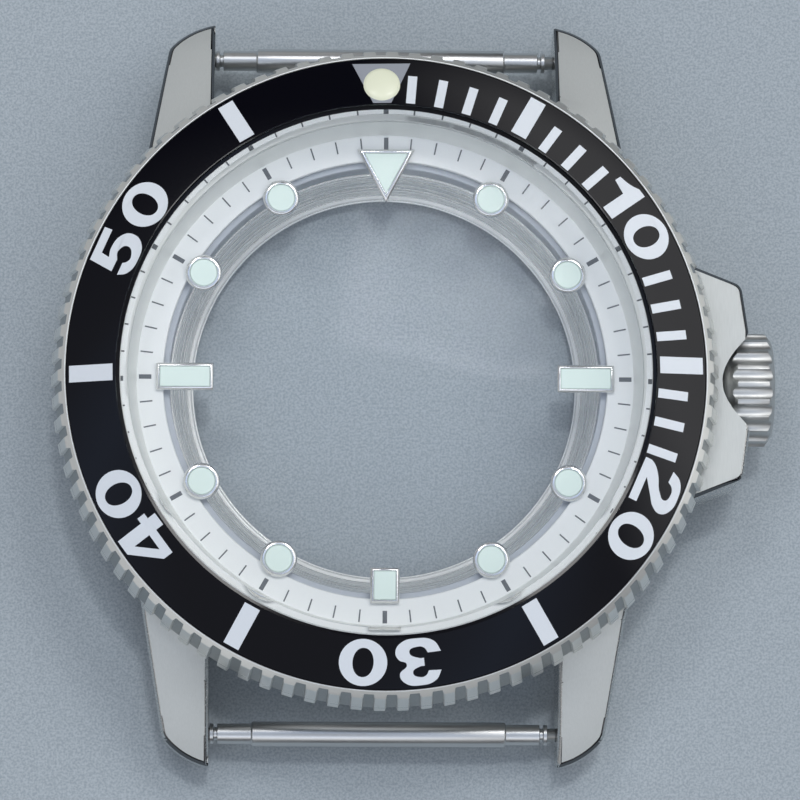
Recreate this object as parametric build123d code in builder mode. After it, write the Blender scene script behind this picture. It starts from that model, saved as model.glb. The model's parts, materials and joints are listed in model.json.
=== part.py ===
from build123d import *
import os
from math import cos, radians, sin

os.makedirs("parts", exist_ok=True)

# An empty diver's watch case with its turning bezel, minute ring, crown, display back and
# spring bars. Sizes are in millimetres. +Z looks out through the crystal, +Y to 12 o'clock and
# +X to the crown. The origin is on the case axis, level with the seat of the movement, which is
# the underside of the minute ring.

# Fits shared by the whole case
overrun = 1.0
seat_gap = 0.02
running_gap = 0.05
face_gap = 0.1

# Movement holder, whose bore the whole case is built round
holder_bore_radius = 12.95
holder_wall = 2.3
holder_bottom_z = -2.4
holder_bore_chamfer = 0.12
stem_slot_width = 2.5
stem_slot_rise = 0.85

# Seats inside the mid case
ring_ledge = 0.35
rehaut_flare = 0.45
thread_step = 0.75

# Crystal and its gasket
crystal_overlap = 0.4
crystal_thickness = 2.5
crystal_chamfer = 0.35
crystal_seat_depth = 1.15
gasket_wall = 0.35
gasket_floor = 0.4
gasket_floor_width = 0.35
gasket_lip = 0.05

# Neck that carries the crystal and guides the bezel
neck_wall = 0.66
neck_height = 2.15
neck_chamfer = 0.15
wire_depth = 0.5
wire_radius = 0.22
wire_groove_gap = 0.06
wire_opening_angle = 8.0

# Turning bezel and its insert
insert_gap = 0.25
insert_width = 3.0
insert_fit = 0.02
insert_floor_rise = 0.65
insert_edge_height = 0.7
insert_crest_rise = 0.8
bezel_border = 1.0
bezel_rim_width = 0.4
bezel_rim_lip = 0.05
bezel_bottom_gap = 0.1
bezel_rest_turn = 1.1
coin_count = 90
coin_groove_width = 0.84
coin_groove_floor = 0.6
coin_groove_depth = 0.22
pearl_radius = 1.075
pearl_inset = 1.5
pearl_depth = 0.45
pearl_dome = 0.22

# Ratchet under the bezel and the click spring that rides in it
ratchet_count = 60
ratchet_step = 0.4
ratchet_width = 0.9
ratchet_clearance = 0.7
ratchet_depth = 0.3
ratchet_notch_width = 1.4
click_groove_depth = 0.3
click_sheet = 0.18
click_tab_count = 3
click_tab_width = 0.5
click_tab_length = 3.4
click_tab_rise = 0.85
click_tip_gap = 0.08
click_slot_gap = 0.08

# Minute ring and the applied hour markers
ring_width = 1.87
ring_thickness = 0.5
ring_fit = 0.05
hour_count = 12
quarter_count = 4
marker_height = 0.45
marker_floor = 0.1
marker_bevel = 0.12
lume_sink = 0.05
round_marker_radius = 1.1
round_lume_wall = 0.27
round_marker_inset = 0.68
bar_marker_width = 1.65
bar_marker_length = 3.43
bar_marker_hold = 0.4
bar_lume_wall = 0.2
six_marker_width = 1.74
six_marker_length = 2.15
six_marker_hold = 0.27
triangle_width = 3.5
triangle_length = 3.3
triangle_hold = 0.67
triangle_lume_wall = 0.24

# Mid case: body
body_inset = 0.4
body_top_z = 2.1
body_bottom_z = -4.4
body_edge_chamfer = 0.3
strap_side_step = 1.15

# Mid case: lugs
lug_gap = 21.0
lug_tip_width = 2.8
lug_tip_reach = 2.05
lug_tip_sagitta = 0.3
lug_tip_drop = 0.65
lug_tip_thickness = 2.85
lug_tip_lean = 0.3
lug_shoulder_drop = 1.75
lug_shoulder_round = 1.1
lug_root_depth = 0.37
lug_root_angle = 40.15
lug_slope_length = 11.4
lug_slope_sagitta = 0.25
lug_belly_length = 9.7
lug_belly_sagitta = 0.15
lug_foot_round = 0.5
lug_edge_polish = 0.2
bar_hole_radius = 0.45
bar_hole_depth = 1.5

# Mid case: crown guards
guard_reach = 2.3
guard_tip_y = 3.1
guard_corner_set_back = 0.4
guard_corner_y = 5.9
guard_corner_round = 0.7
guard_root_depth = 2.1
guard_root_y = 7.5
guard_bottom_rise = 0.6
guard_edge_polish = 0.2
recess_floor_step = 0.6
recess_floor_gap = 0.57
recess_mouth_gap = 1.05
recess_depth = 2.0

# Screwed display back
back_clearance = 0.05
funnel_gap = 0.01
funnel_taper = 0.98
funnel_drop = 0.65
window_step = 0.36
window_drop = 0.15
window_edge_height = 0.15
back_glass_overlap = 0.7
back_glass_thickness = 1.1
back_glass_chamfer = 0.1
back_glass_recess = 0.1
back_glass_gasket_wall = 0.28
back_flange_width = 1.9
back_flange_chamfer = 0.55
back_rim_chamfer = 0.15
back_notch_count = 6
back_notch_width = 2.2
back_notch_depth = 0.8
back_notch_height = 0.75
back_groove_step = 0.6
back_ring_radius = 0.3
back_groove_half_width = 0.36

# Crown, its tube and what is inside it
crown_axis_z = -1.2
tube_shank_radius = 1.25
tube_bore_radius = 0.95
tube_neck_radius = 1.7
tube_set_back = 0.75
tube_reach = 1.0
crown_gap = 0.25
crown_radius = 3.45
crown_inner_bevel = 0.77
crown_flute_start = 0.77
crown_flute_length = 1.9
crown_length = 3.05
crown_face_bevel = 0.5
crown_face_wall = 0.45
crown_dome = 0.12
crown_flute_count = 20
crown_rest_turn = 12.0
crown_flute_radius = 0.42
crown_flute_offset = 0.14
crown_bore_radius = 1.75
crown_gasket_thickness = 0.25
crown_gasket_bore = 1.05
washer_thickness = 0.1
crown_pop_travel = 1.0
core_radius = 0.9
core_set_back = 1.5
core_head_radius = 1.6
core_head_thickness = 0.2
core_stem_radius = 0.45
core_stem_depth = 2.0
core_pocket_radius = 0.64
core_pocket_depth = 1.7
crown_spring_radius = 0.56
crown_spring_wire = 0.16

# Spring bars between the lugs
bar_reach = 2.45
bar_rise = 1.2
bar_shift_x = -0.25
bar_end_gap = 0.3
barrel_radius = 0.75
barrel_set_back = 2.5
barrel_round = 0.1
tip_shaft_radius = 0.62
tip_flange_thickness = 0.24
tip_flange_groove = 0.22
tip_pin_radius = 0.4
tip_pin_length = 1.3
tip_inner_length = 2.6
bar_spring_radius = 0.54
bar_spring_wire = 0.2

# Radii that follow, from the movement's bore outwards
main_bore_radius = holder_bore_radius + holder_wall
holder_radius = main_bore_radius - seat_gap
thread_radius = main_bore_radius + thread_step
rehaut_foot_radius = main_bore_radius - ring_ledge
rehaut_top_radius = rehaut_foot_radius + rehaut_flare
crystal_radius = rehaut_top_radius + crystal_overlap
gasket_floor_radius = crystal_radius - gasket_floor_width
gasket_radius = crystal_radius + seat_gap + gasket_wall
crystal_seat_radius = gasket_radius + seat_gap
neck_radius = crystal_seat_radius + neck_wall
wire_path_radius = neck_radius + running_gap / 2
wire_cut_radius = wire_radius + wire_groove_gap
bezel_bore_radius = neck_radius + running_gap
ratchet_inner_radius = neck_radius + ratchet_step
ratchet_outer_radius = ratchet_inner_radius + ratchet_width
insert_bore_radius = crystal_radius + insert_gap
insert_radius = insert_bore_radius + insert_width
pearl_place_radius = insert_radius - pearl_inset
bezel_rim_radius = insert_radius + bezel_rim_width
bezel_radius = insert_radius + bezel_border
body_radius = bezel_radius - body_inset
strap_side_radius = body_radius - strap_side_step

# Heights that follow, from the body's top and bottom
neck_top_z = body_top_z + neck_height
crystal_ledge_z = neck_top_z - crystal_seat_depth
crystal_floor_z = crystal_ledge_z + gasket_floor
wire_level_z = neck_top_z - wire_depth
bezel_bottom_z = body_top_z + bezel_bottom_gap
insert_floor_z = wire_level_z + insert_floor_rise
insert_edge_z = insert_floor_z + insert_edge_height
insert_crest_z = insert_edge_z + insert_crest_rise
bezel_rim_z = insert_edge_z + bezel_rim_lip
coin_groove_slope = (coin_groove_width - coin_groove_floor) / 2 / coin_groove_depth
coin_groove_flare = coin_groove_slope * (coin_groove_depth + overrun)
ratchet_crest_z = body_top_z + ratchet_clearance
ratchet_root_z = ratchet_crest_z + ratchet_depth
click_tab_top_z = body_top_z + click_tab_rise
groove_floor_z = body_top_z - click_groove_depth
lume_floor_z = ring_thickness + marker_floor
stem_slot_top_z = crown_axis_z + stem_slot_rise

# The ring and its markers
ring_radius = main_bore_radius - ring_fit
ring_inner_radius = ring_radius - ring_width
round_lume_radius = round_marker_radius - round_lume_wall
round_marker_place = ring_inner_radius - round_marker_inset
bar_marker_outer = ring_inner_radius + bar_marker_hold
six_marker_outer = ring_inner_radius + six_marker_hold
triangle_outer = ring_inner_radius + triangle_hold
triangle_inner = triangle_outer - triangle_length
quarter_hours = hour_count // quarter_count

# The back
back_thread_radius = thread_radius - running_gap
back_top_z = holder_bottom_z - back_clearance
back_flange_top_z = body_bottom_z - back_clearance
back_flange_radius = thread_radius + back_flange_width
back_groove_radius = thread_radius + back_groove_step
back_gasket_z = body_bottom_z - seat_gap - back_ring_radius
back_groove_floor_z = back_gasket_z - back_ring_radius - seat_gap
back_funnel_top_radius = holder_bore_radius - funnel_gap
back_funnel_foot_radius = back_funnel_top_radius - funnel_taper
back_funnel_foot_z = body_bottom_z - funnel_drop
window_radius = back_funnel_foot_radius - window_step
window_edge_z = back_funnel_foot_z - window_drop
back_glass_radius = window_radius + back_glass_overlap
back_glass_ledge_z = window_edge_z - window_edge_height
back_glass_seat_radius = back_glass_radius + seat_gap + back_glass_gasket_wall + seat_gap
back_bottom_z = back_glass_ledge_z - back_glass_thickness - back_glass_recess

# The lugs, the guards and the bars
bar_y = strap_side_radius + bar_reach
bar_z = body_bottom_z + bar_rise
bar_span = lug_gap - 2 * bar_end_gap
barrel_length = bar_span - 2 * barrel_set_back
lug_tip_y = bar_y + lug_tip_reach
lug_tip_bottom_z = body_bottom_z - lug_tip_drop
lug_tip_top_z = lug_tip_bottom_z + lug_tip_thickness
lug_shoulder_x = lug_gap / 2 + lug_tip_width
lug_shoulder_y = lug_tip_y - lug_shoulder_drop
lug_root_x = (body_radius - lug_root_depth) * cos(radians(lug_root_angle))
lug_root_y = (body_radius - lug_root_depth) * sin(radians(lug_root_angle))
lug_curve_start_y = lug_tip_y - lug_slope_length
lug_belly_start_y = lug_tip_y - lug_belly_length
guard_reach_x = body_radius + guard_reach
guard_corner_x = guard_reach_x - guard_corner_set_back
guard_root_x = body_radius - guard_root_depth
guard_bottom_z = body_bottom_z + guard_bottom_rise
recess_floor_x = body_radius + recess_floor_step
recess_mouth_x = recess_floor_x + recess_depth
recess_end_x = max(recess_mouth_x, guard_reach_x) + overrun
side_reach = 2 * (bezel_radius + lug_tip_y)

# The crown and what is inside it
crown_inner_radius = crown_radius - crown_inner_bevel
crown_face_radius = crown_radius - crown_face_bevel
recess_floor_radius = crown_inner_radius + recess_floor_gap
recess_mouth_radius = crown_radius + recess_mouth_gap
tube_inner_x = main_bore_radius + tube_set_back
tube_end_x = recess_floor_x + tube_reach
crown_inner_x = recess_floor_x + crown_gap
crown_flute_start_x = crown_inner_x + crown_flute_start
crown_flute_end_x = crown_flute_start_x + crown_flute_length
crown_end_x = crown_inner_x + crown_length
crown_cavity_x = crown_end_x - crown_face_wall
core_inner_x = tube_inner_x + core_set_back
core_head_x = tube_end_x + seat_gap + crown_gasket_thickness + washer_thickness
core_head_x = core_head_x + crown_pop_travel + face_gap
core_end_x = core_head_x + core_head_thickness


def turned_profile(*points):
    """The half section (radius, height) of a piece that is turned about the case axis."""
    with BuildSketch(Plane.XZ) as outline:
        with BuildLine():
            Polyline(*points, close=True)
        make_face()
    return outline.sketch


def crown_plane():
    """A plane across the crown's own axis, at the case axis, facing out through the crown."""
    return Plane(origin=(0, 0, crown_axis_z), x_dir=(0, 1, 0), z_dir=(1, 0, 0))


def crown_profile(*points):
    """The half section (distance from the case axis, radius) of a piece on the crown's axis."""
    section_plane = Plane(origin=(0, 0, crown_axis_z), x_dir=(1, 0, 0), z_dir=(0, -1, 0))
    with BuildSketch(section_plane) as outline:
        with BuildLine():
            Polyline(*points, close=True)
        make_face()
    return outline.sketch


crown_axis = Axis((0, 0, crown_axis_z), (1, 0, 0))

# Lugs: the plan of one lug is mirrored to four, and a side profile trims their height
with BuildPart() as lugs:
    with BuildSketch(Plane.XY.offset(lug_tip_bottom_z - overrun)):
        with BuildLine():
            tip = SagittaArc(
                (lug_gap / 2, lug_tip_y), (lug_shoulder_x, lug_shoulder_y), lug_tip_sagitta
            )
            flank = Line(tip @ 1, (lug_root_x, lug_root_y))
            Polyline(flank @ 1, (lug_gap / 2, lug_root_y), tip @ 0)
        make_face()
        fillet(vertices().sort_by_distance(tip @ 1)[0], lug_shoulder_round)
        mirror(about=Plane.YZ)
        mirror(about=Plane.XZ)
    extrude(amount=body_top_z - lug_tip_bottom_z + overrun)
    with BuildSketch(Plane.YZ):
        with BuildLine():
            crest = Line((0, body_top_z), (lug_curve_start_y, body_top_z))
            slope = SagittaArc(crest @ 1, (lug_tip_y, lug_tip_top_z), lug_slope_sagitta)
            toe = Line(slope @ 1, (lug_tip_y - lug_tip_lean, lug_tip_bottom_z))
            belly = SagittaArc(toe @ 1, (lug_belly_start_y, body_bottom_z), -lug_belly_sagitta)
            Polyline(belly @ 1, (0, body_bottom_z), crest @ 0)
        make_face()
        fillet(vertices().sort_by_distance(toe @ 1)[0], lug_foot_round)
        mirror(about=Plane.YZ)
    extrude(amount=side_reach / 2, both=True, mode=Mode.INTERSECT)
    slopes = faces().filter_by(GeomType.CYLINDER).group_by(Axis.Z)[-1]
    chamfer(slopes.edges().filter_by(GeomType.LINE, reverse=True), lug_edge_polish)

# Crown guards: a flat-topped block with rounded outer corners
with BuildPart() as guards:
    with BuildSketch(Plane.XY.offset(guard_bottom_z)):
        with BuildLine():
            Polyline(
                (guard_root_x, 0),
                (guard_root_x, guard_root_y),
                (guard_corner_x, guard_corner_y),
                (guard_reach_x, guard_tip_y),
                (guard_reach_x, 0),
                close=True,
            )
        make_face()
        fillet(
            vertices().sort_by_distance((guard_corner_x, guard_corner_y))[0], guard_corner_round
        )
        mirror(about=Plane.XZ)
    extrude(amount=body_top_z - guard_bottom_z)
    chamfer(faces().sort_by(Axis.Z)[-1].edges(), guard_edge_polish)

# Mid case: turned body, lugs and guards in one piece, then every seat and hole
with BuildPart() as mid_case:
    revolve(
        turned_profile(
            (0, body_bottom_z),
            (body_radius - body_edge_chamfer, body_bottom_z),
            (body_radius, body_bottom_z + body_edge_chamfer),
            (body_radius, body_top_z),
            (neck_radius, body_top_z),
            (neck_radius, neck_top_z - neck_chamfer),
            (neck_radius - neck_chamfer, neck_top_z),
            (0, neck_top_z),
        ),
        axis=Axis.Z,
    )
    add(guards.part)
    # room for the strap ends between each pair of lugs
    with BuildSketch(Plane.XY.offset(lug_tip_bottom_z - overrun)):
        Rectangle(lug_gap, 2 * (body_radius + overrun))
        Circle(strap_side_radius, mode=Mode.SUBTRACT)
    extrude(amount=body_top_z - lug_tip_bottom_z + 2 * overrun, mode=Mode.SUBTRACT)
    add(lugs.part)
    # seats for the crystal, the minute ring, the holder and the screwed back
    revolve(
        turned_profile(
            (0, neck_top_z + overrun),
            (crystal_seat_radius, neck_top_z + overrun),
            (crystal_seat_radius, crystal_ledge_z),
            (rehaut_top_radius, crystal_ledge_z),
            (rehaut_foot_radius, ring_thickness),
            (main_bore_radius, ring_thickness),
            (main_bore_radius, holder_bottom_z),
            (thread_radius, holder_bottom_z),
            (thread_radius, body_bottom_z - overrun),
            (0, body_bottom_z - overrun),
        ),
        axis=Axis.Z,
        mode=Mode.SUBTRACT,
    )
    # groove for the bezel's retaining wire
    revolve(
        turned_profile(
            (wire_path_radius - wire_cut_radius, wire_level_z - wire_cut_radius),
            (neck_radius + overrun, wire_level_z - wire_cut_radius),
            (neck_radius + overrun, wire_level_z + wire_cut_radius),
            (wire_path_radius - wire_cut_radius, wire_level_z + wire_cut_radius),
        ),
        axis=Axis.Z,
        mode=Mode.SUBTRACT,
    )
    # shallow groove that the click spring lies in
    revolve(
        turned_profile(
            (ratchet_inner_radius, groove_floor_z),
            (ratchet_outer_radius, groove_floor_z),
            (ratchet_outer_radius, body_top_z + overrun),
            (ratchet_inner_radius, body_top_z + overrun),
        ),
        axis=Axis.Z,
        mode=Mode.SUBTRACT,
    )
    # conical recess round the crown, and the hole for its tube
    revolve(
        crown_profile(
            (recess_floor_x, 0),
            (recess_floor_x, recess_floor_radius),
            (recess_mouth_x, recess_mouth_radius),
            (recess_end_x, recess_mouth_radius),
            (recess_end_x, 0),
        ),
        axis=crown_axis,
        mode=Mode.SUBTRACT,
    )
    with BuildSketch(crown_plane().offset(rehaut_foot_radius - overrun)):
        Circle(tube_shank_radius + seat_gap)
    extrude(amount=recess_floor_x - rehaut_foot_radius + 2 * overrun, mode=Mode.SUBTRACT)
    # blind holes for the pins of the spring bars
    with BuildSketch(Plane.YZ):
        with Locations((bar_y, bar_z), (-bar_y, bar_z)):
            Circle(bar_hole_radius)
    extrude(amount=lug_gap / 2 + bar_hole_depth, both=True, mode=Mode.SUBTRACT)
mid_case.part.label = "mid_case"
export_step(mid_case.part, "parts/mid_case.step")

# Crystal: a flat disc with a chamfered top edge
with BuildPart() as crystal:
    with BuildSketch(Plane.XY.offset(crystal_floor_z)):
        Circle(crystal_radius)
    extrude(amount=crystal_thickness)
    chamfer(edges().group_by(Axis.Z)[-1], crystal_chamfer)
crystal.part.label = "crystal"
export_step(crystal.part, "parts/crystal.step")

# Crystal gasket: an L-shaped ring pressed round and under the crystal
with BuildPart() as crystal_gasket:
    revolve(
        turned_profile(
            (gasket_floor_radius, crystal_ledge_z),
            (gasket_radius, crystal_ledge_z),
            (gasket_radius, neck_top_z - gasket_lip),
            (crystal_radius + seat_gap, neck_top_z - gasket_lip),
            (crystal_radius + seat_gap, crystal_floor_z),
            (gasket_floor_radius, crystal_floor_z),
        ),
        axis=Axis.Z,
    )
crystal_gasket.part.label = "crystal_gasket"
export_step(crystal_gasket.part, "parts/crystal_gasket.step")

# Bezel ring: turned blank, coin edge all round and a ratchet in a pocket underneath
with BuildPart() as bezel_ring:
    revolve(
        turned_profile(
            (bezel_bore_radius, bezel_bottom_z),
            (ratchet_inner_radius, bezel_bottom_z),
            (ratchet_inner_radius, ratchet_crest_z),
            (ratchet_outer_radius, ratchet_crest_z),
            (ratchet_outer_radius, bezel_bottom_z),
            (bezel_radius, bezel_bottom_z),
            (bezel_rim_radius, bezel_rim_z),
            (insert_radius + insert_fit, bezel_rim_z),
            (insert_radius + insert_fit, insert_floor_z),
            (bezel_bore_radius, insert_floor_z),
            (bezel_bore_radius, wire_level_z + wire_cut_radius),
            (wire_path_radius + wire_cut_radius, wire_level_z + wire_cut_radius),
            (wire_path_radius + wire_cut_radius, wire_level_z - wire_cut_radius),
            (bezel_bore_radius, wire_level_z - wire_cut_radius),
        ),
        axis=Axis.Z,
    )
    # grooves of the coin edge, cut along the cone of the rim and out through the bottom
    rim_slant = Plane(
        origin=(bezel_rim_radius, 0, bezel_rim_z),
        x_dir=(0, 1, 0),
        z_dir=(bezel_radius - bezel_rim_radius, 0, bezel_bottom_z - bezel_rim_z),
    )
    with BuildSketch(rim_slant.offset(-overrun)) as groove:
        Polygon(
            (-coin_groove_floor / 2, -coin_groove_depth),
            (coin_groove_floor / 2, -coin_groove_depth),
            (coin_groove_floor / 2 + coin_groove_flare, overrun),
            (-coin_groove_floor / 2 - coin_groove_flare, overrun),
            align=None,
        )
    groove_length = bezel_rim_z - bezel_bottom_z + 3 * overrun
    groove_tool = extrude(groove.sketch, amount=groove_length, mode=Mode.PRIVATE)
    with PolarLocations(0, coin_count, start_angle=bezel_rest_turn + 180 / coin_count):
        add(groove_tool, mode=Mode.SUBTRACT)
    # sawtooth notches: an upright face on one side and a ramp on the other
    with BuildSketch(
        Plane(origin=(ratchet_inner_radius - overrun, 0, 0), x_dir=(0, 1, 0), z_dir=(1, 0, 0))
    ) as notch:
        with BuildLine():
            Polyline(
                (-ratchet_notch_width / 2, ratchet_crest_z - click_tip_gap),
                (-ratchet_notch_width / 2, ratchet_root_z),
                (ratchet_notch_width / 2, ratchet_crest_z),
                (ratchet_notch_width / 2, ratchet_crest_z - click_tip_gap),
                close=True,
            )
        make_face()
    with BuildPart(mode=Mode.PRIVATE) as notches:
        notch_length = ratchet_outer_radius - ratchet_inner_radius + 2 * overrun
        notch_tool = extrude(notch.sketch, amount=notch_length, mode=Mode.PRIVATE)
        with PolarLocations(0, ratchet_count, start_angle=bezel_rest_turn):
            add(notch_tool)
        with BuildSketch(Plane.XY.offset(ratchet_crest_z - overrun)):
            Circle(ratchet_outer_radius)
            Circle(ratchet_inner_radius, mode=Mode.SUBTRACT)
        extrude(amount=ratchet_root_z - ratchet_crest_z + 2 * overrun, mode=Mode.INTERSECT)
    add(notches.part, mode=Mode.SUBTRACT)
bezel_ring.part.label = "bezel_ring"
export_step(bezel_ring.part, "parts/bezel_ring.step")

# Bezel insert: a ring that rises inwards, with a round seat for the pearl
pearl_angle = radians(90 + bezel_rest_turn)
pearl_x = pearl_place_radius * cos(pearl_angle)
pearl_y = pearl_place_radius * sin(pearl_angle)
insert_rise = (insert_crest_z - insert_edge_z) / (insert_radius - insert_bore_radius)
pearl_top_z = insert_edge_z + insert_rise * (insert_radius - pearl_place_radius)
pearl_floor_z = pearl_top_z - pearl_depth
with BuildPart() as bezel_insert:
    revolve(
        turned_profile(
            (insert_bore_radius, insert_floor_z),
            (insert_radius, insert_floor_z),
            (insert_radius, insert_edge_z),
            (insert_bore_radius, insert_crest_z),
        ),
        axis=Axis.Z,
    )
    with BuildSketch(Plane.XY.offset(pearl_floor_z)):
        with Locations((pearl_x, pearl_y)):
            Circle(pearl_radius + seat_gap)
    extrude(amount=pearl_depth + overrun, mode=Mode.SUBTRACT)
bezel_insert.part.label = "bezel_insert"
export_step(bezel_insert.part, "parts/bezel_insert.step")

# Bezel pearl: a low domed plug of luminous paste
with BuildPart() as bezel_pearl:
    pearl_plane = Plane(
        origin=(pearl_x, pearl_y, pearl_floor_z), x_dir=(1, 0, 0), z_dir=(0, -1, 0)
    )
    with BuildSketch(pearl_plane):
        with BuildLine():
            wall = Polyline((0, 0), (pearl_radius, 0), (pearl_radius, pearl_depth))
            dome = TangentArc((0, pearl_depth + pearl_dome), wall @ 1, tangent=(1, 0))
            Line(dome @ 0, wall @ 0)
        make_face()
    revolve(axis=Axis((pearl_x, pearl_y, pearl_floor_z), (0, 0, 1)))
bezel_pearl.part.label = "bezel_pearl"
export_step(bezel_pearl.part, "parts/bezel_pearl.step")

# Retaining wire: an open ring half in the neck's groove and half in the bezel's
with BuildPart() as bezel_wire:
    wire_plane = Plane(
        origin=(wire_path_radius, 0, wire_level_z), x_dir=(1, 0, 0), z_dir=(0, -1, 0)
    )
    with BuildSketch(wire_plane):
        RegularPolygon(wire_radius, 6)
    revolve(axis=Axis.Z, revolution_arc=360 - wire_opening_angle)
bezel_wire.part.label = "bezel_wire"
export_step(bezel_wire.part, "parts/bezel_wire.step")

# Click spring: a thin sheet ring with tabs bent up into the ratchet
tab_place_radius = (ratchet_inner_radius + ratchet_outer_radius) / 2
tab_tip = -ratchet_notch_width / 2 + click_tip_gap
tab_foot = tab_tip + click_tab_length
with BuildPart() as click_spring:
    with BuildSketch(Plane.XY.offset(groove_floor_z)):
        Circle(ratchet_outer_radius - running_gap)
        Circle(ratchet_inner_radius + running_gap, mode=Mode.SUBTRACT)
    extrude(amount=click_sheet)
    tab_plane = Plane(origin=(tab_place_radius, 0, 0), x_dir=(0, 1, 0), z_dir=(1, 0, 0))
    with BuildSketch(tab_plane) as tab_outline:
        with BuildLine():
            Polyline(
                (tab_tip, click_tab_top_z),
                (tab_tip, click_tab_top_z - click_sheet),
                (tab_foot - click_sheet, groove_floor_z),
                (tab_foot + click_sheet, groove_floor_z),
                (tab_foot + click_sheet, groove_floor_z + click_sheet),
                (tab_foot, groove_floor_z + click_sheet),
                close=True,
            )
        make_face()
    tab_tool = extrude(
        tab_outline.sketch, amount=click_tab_width / 2, both=True, mode=Mode.PRIVATE
    )
    with BuildSketch(tab_plane) as slot_outline:
        with BuildLine():
            Polyline(
                (tab_tip, groove_floor_z - overrun),
                (tab_foot - click_sheet, groove_floor_z - overrun),
                (tab_foot - click_sheet, body_top_z),
                (tab_tip, body_top_z),
                close=True,
            )
        make_face()
    slot_tool = extrude(
        slot_outline.sketch,
        amount=click_tab_width / 2 + click_slot_gap,
        both=True,
        mode=Mode.PRIVATE,
    )
    with PolarLocations(0, click_tab_count, start_angle=bezel_rest_turn):
        add(slot_tool, mode=Mode.SUBTRACT)
    with PolarLocations(0, click_tab_count, start_angle=bezel_rest_turn):
        add(tab_tool)
click_spring.part.label = "click_spring"
export_step(click_spring.part, "parts/click_spring.step")

# Minute ring: the flat ring that carries the hour markers
with BuildPart() as minute_ring:
    with BuildSketch():
        Circle(ring_radius)
        Circle(ring_inner_radius, mode=Mode.SUBTRACT)
    extrude(amount=ring_thickness)
minute_ring.part.label = "minute_ring"
export_step(minute_ring.part, "parts/minute_ring.step")


def hour_location(hour, radius):
    """The place and turn of a marker, pointing outwards at its hour."""
    angle = 90 - 360 / hour_count * hour
    place = (radius * cos(radians(angle)), radius * sin(radians(angle)))
    return Location(place, angle)


# Round markers at eight hours: polished cups filled with luminous paste
round_hours = [hour for hour in range(hour_count) if hour % quarter_hours]
round_places = [hour_location(hour, round_marker_place) for hour in round_hours]
with BuildPart() as round_markers:
    with BuildSketch(Plane.XY.offset(ring_thickness)):
        with Locations(*round_places):
            Circle(round_marker_radius)
    extrude(amount=marker_height)
    chamfer(edges().group_by(Axis.Z)[-1], marker_bevel)
    with BuildSketch(Plane.XY.offset(lume_floor_z)):
        with Locations(*round_places):
            Circle(round_lume_radius)
    extrude(amount=marker_height, mode=Mode.SUBTRACT)
round_markers.part.label = "round_markers"
export_step(round_markers.part, "parts/round_markers.step")

with BuildPart() as round_lume:
    with BuildSketch(Plane.XY.offset(lume_floor_z)):
        with Locations(*round_places):
            Circle(round_lume_radius - seat_gap)
    extrude(amount=marker_height - marker_floor - lume_sink)
round_lume.part.label = "round_lume"
export_step(round_lume.part, "parts/round_lume.step")

# Bar markers at three and nine
bar_marker_place = bar_marker_outer - bar_marker_length / 2
bar_hours = (quarter_hours, hour_count - quarter_hours)
bar_places = [hour_location(hour, bar_marker_place) for hour in bar_hours]
with BuildPart() as bar_markers:
    with BuildSketch(Plane.XY.offset(ring_thickness)):
        with Locations(*bar_places):
            Rectangle(bar_marker_length, bar_marker_width)
    extrude(amount=marker_height)
    chamfer(edges().group_by(Axis.Z)[-1], marker_bevel)
    with BuildSketch(Plane.XY.offset(lume_floor_z)):
        with Locations(*bar_places):
            Rectangle(bar_marker_length - 2 * bar_lume_wall, bar_marker_width - 2 * bar_lume_wall)
    extrude(amount=marker_height, mode=Mode.SUBTRACT)
bar_markers.part.label = "bar_markers"
export_step(bar_markers.part, "parts/bar_markers.step")

bar_lume_cut = 2 * (bar_lume_wall + seat_gap)
with BuildPart() as bar_lume:
    with BuildSketch(Plane.XY.offset(lume_floor_z)):
        with Locations(*bar_places):
            Rectangle(bar_marker_length - bar_lume_cut, bar_marker_width - bar_lume_cut)
    extrude(amount=marker_height - marker_floor - lume_sink)
bar_lume.part.label = "bar_lume"
export_step(bar_lume.part, "parts/bar_lume.step")

# Short bar marker at six
six_place = hour_location(hour_count // 2, six_marker_outer - six_marker_length / 2)
with BuildPart() as six_marker:
    with BuildSketch(Plane.XY.offset(ring_thickness)):
        with Locations(six_place):
            Rectangle(six_marker_length, six_marker_width)
    extrude(amount=marker_height)
    chamfer(edges().group_by(Axis.Z)[-1], marker_bevel)
    with BuildSketch(Plane.XY.offset(lume_floor_z)):
        with Locations(six_place):
            Rectangle(six_marker_length - 2 * bar_lume_wall, six_marker_width - 2 * bar_lume_wall)
    extrude(amount=marker_height, mode=Mode.SUBTRACT)
six_marker.part.label = "six_marker"
export_step(six_marker.part, "parts/six_marker.step")

with BuildPart() as six_lume:
    with BuildSketch(Plane.XY.offset(lume_floor_z)):
        with Locations(six_place):
            Rectangle(six_marker_length - bar_lume_cut, six_marker_width - bar_lume_cut)
    extrude(amount=marker_height - marker_floor - lume_sink)
six_lume.part.label = "six_lume"
export_step(six_lume.part, "parts/six_lume.step")

# Triangle at twelve, pointing to the centre
triangle_points = (
    (-triangle_width / 2, triangle_outer),
    (0, triangle_inner),
    (triangle_width / 2, triangle_outer),
)
with BuildPart() as triangle_marker:
    with BuildSketch(Plane.XY.offset(ring_thickness)):
        with BuildLine():
            Polyline(*triangle_points, close=True)
        make_face()
    extrude(amount=marker_height)
    chamfer(edges().group_by(Axis.Z)[-1], marker_bevel)
    with BuildSketch(Plane.XY.offset(lume_floor_z)):
        with BuildLine():
            Polyline(*triangle_points, close=True)
        make_face()
        offset(amount=-triangle_lume_wall, kind=Kind.INTERSECTION, mode=Mode.REPLACE)
    extrude(amount=marker_height, mode=Mode.SUBTRACT)
triangle_marker.part.label = "triangle_marker"
export_step(triangle_marker.part, "parts/triangle_marker.step")

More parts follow.
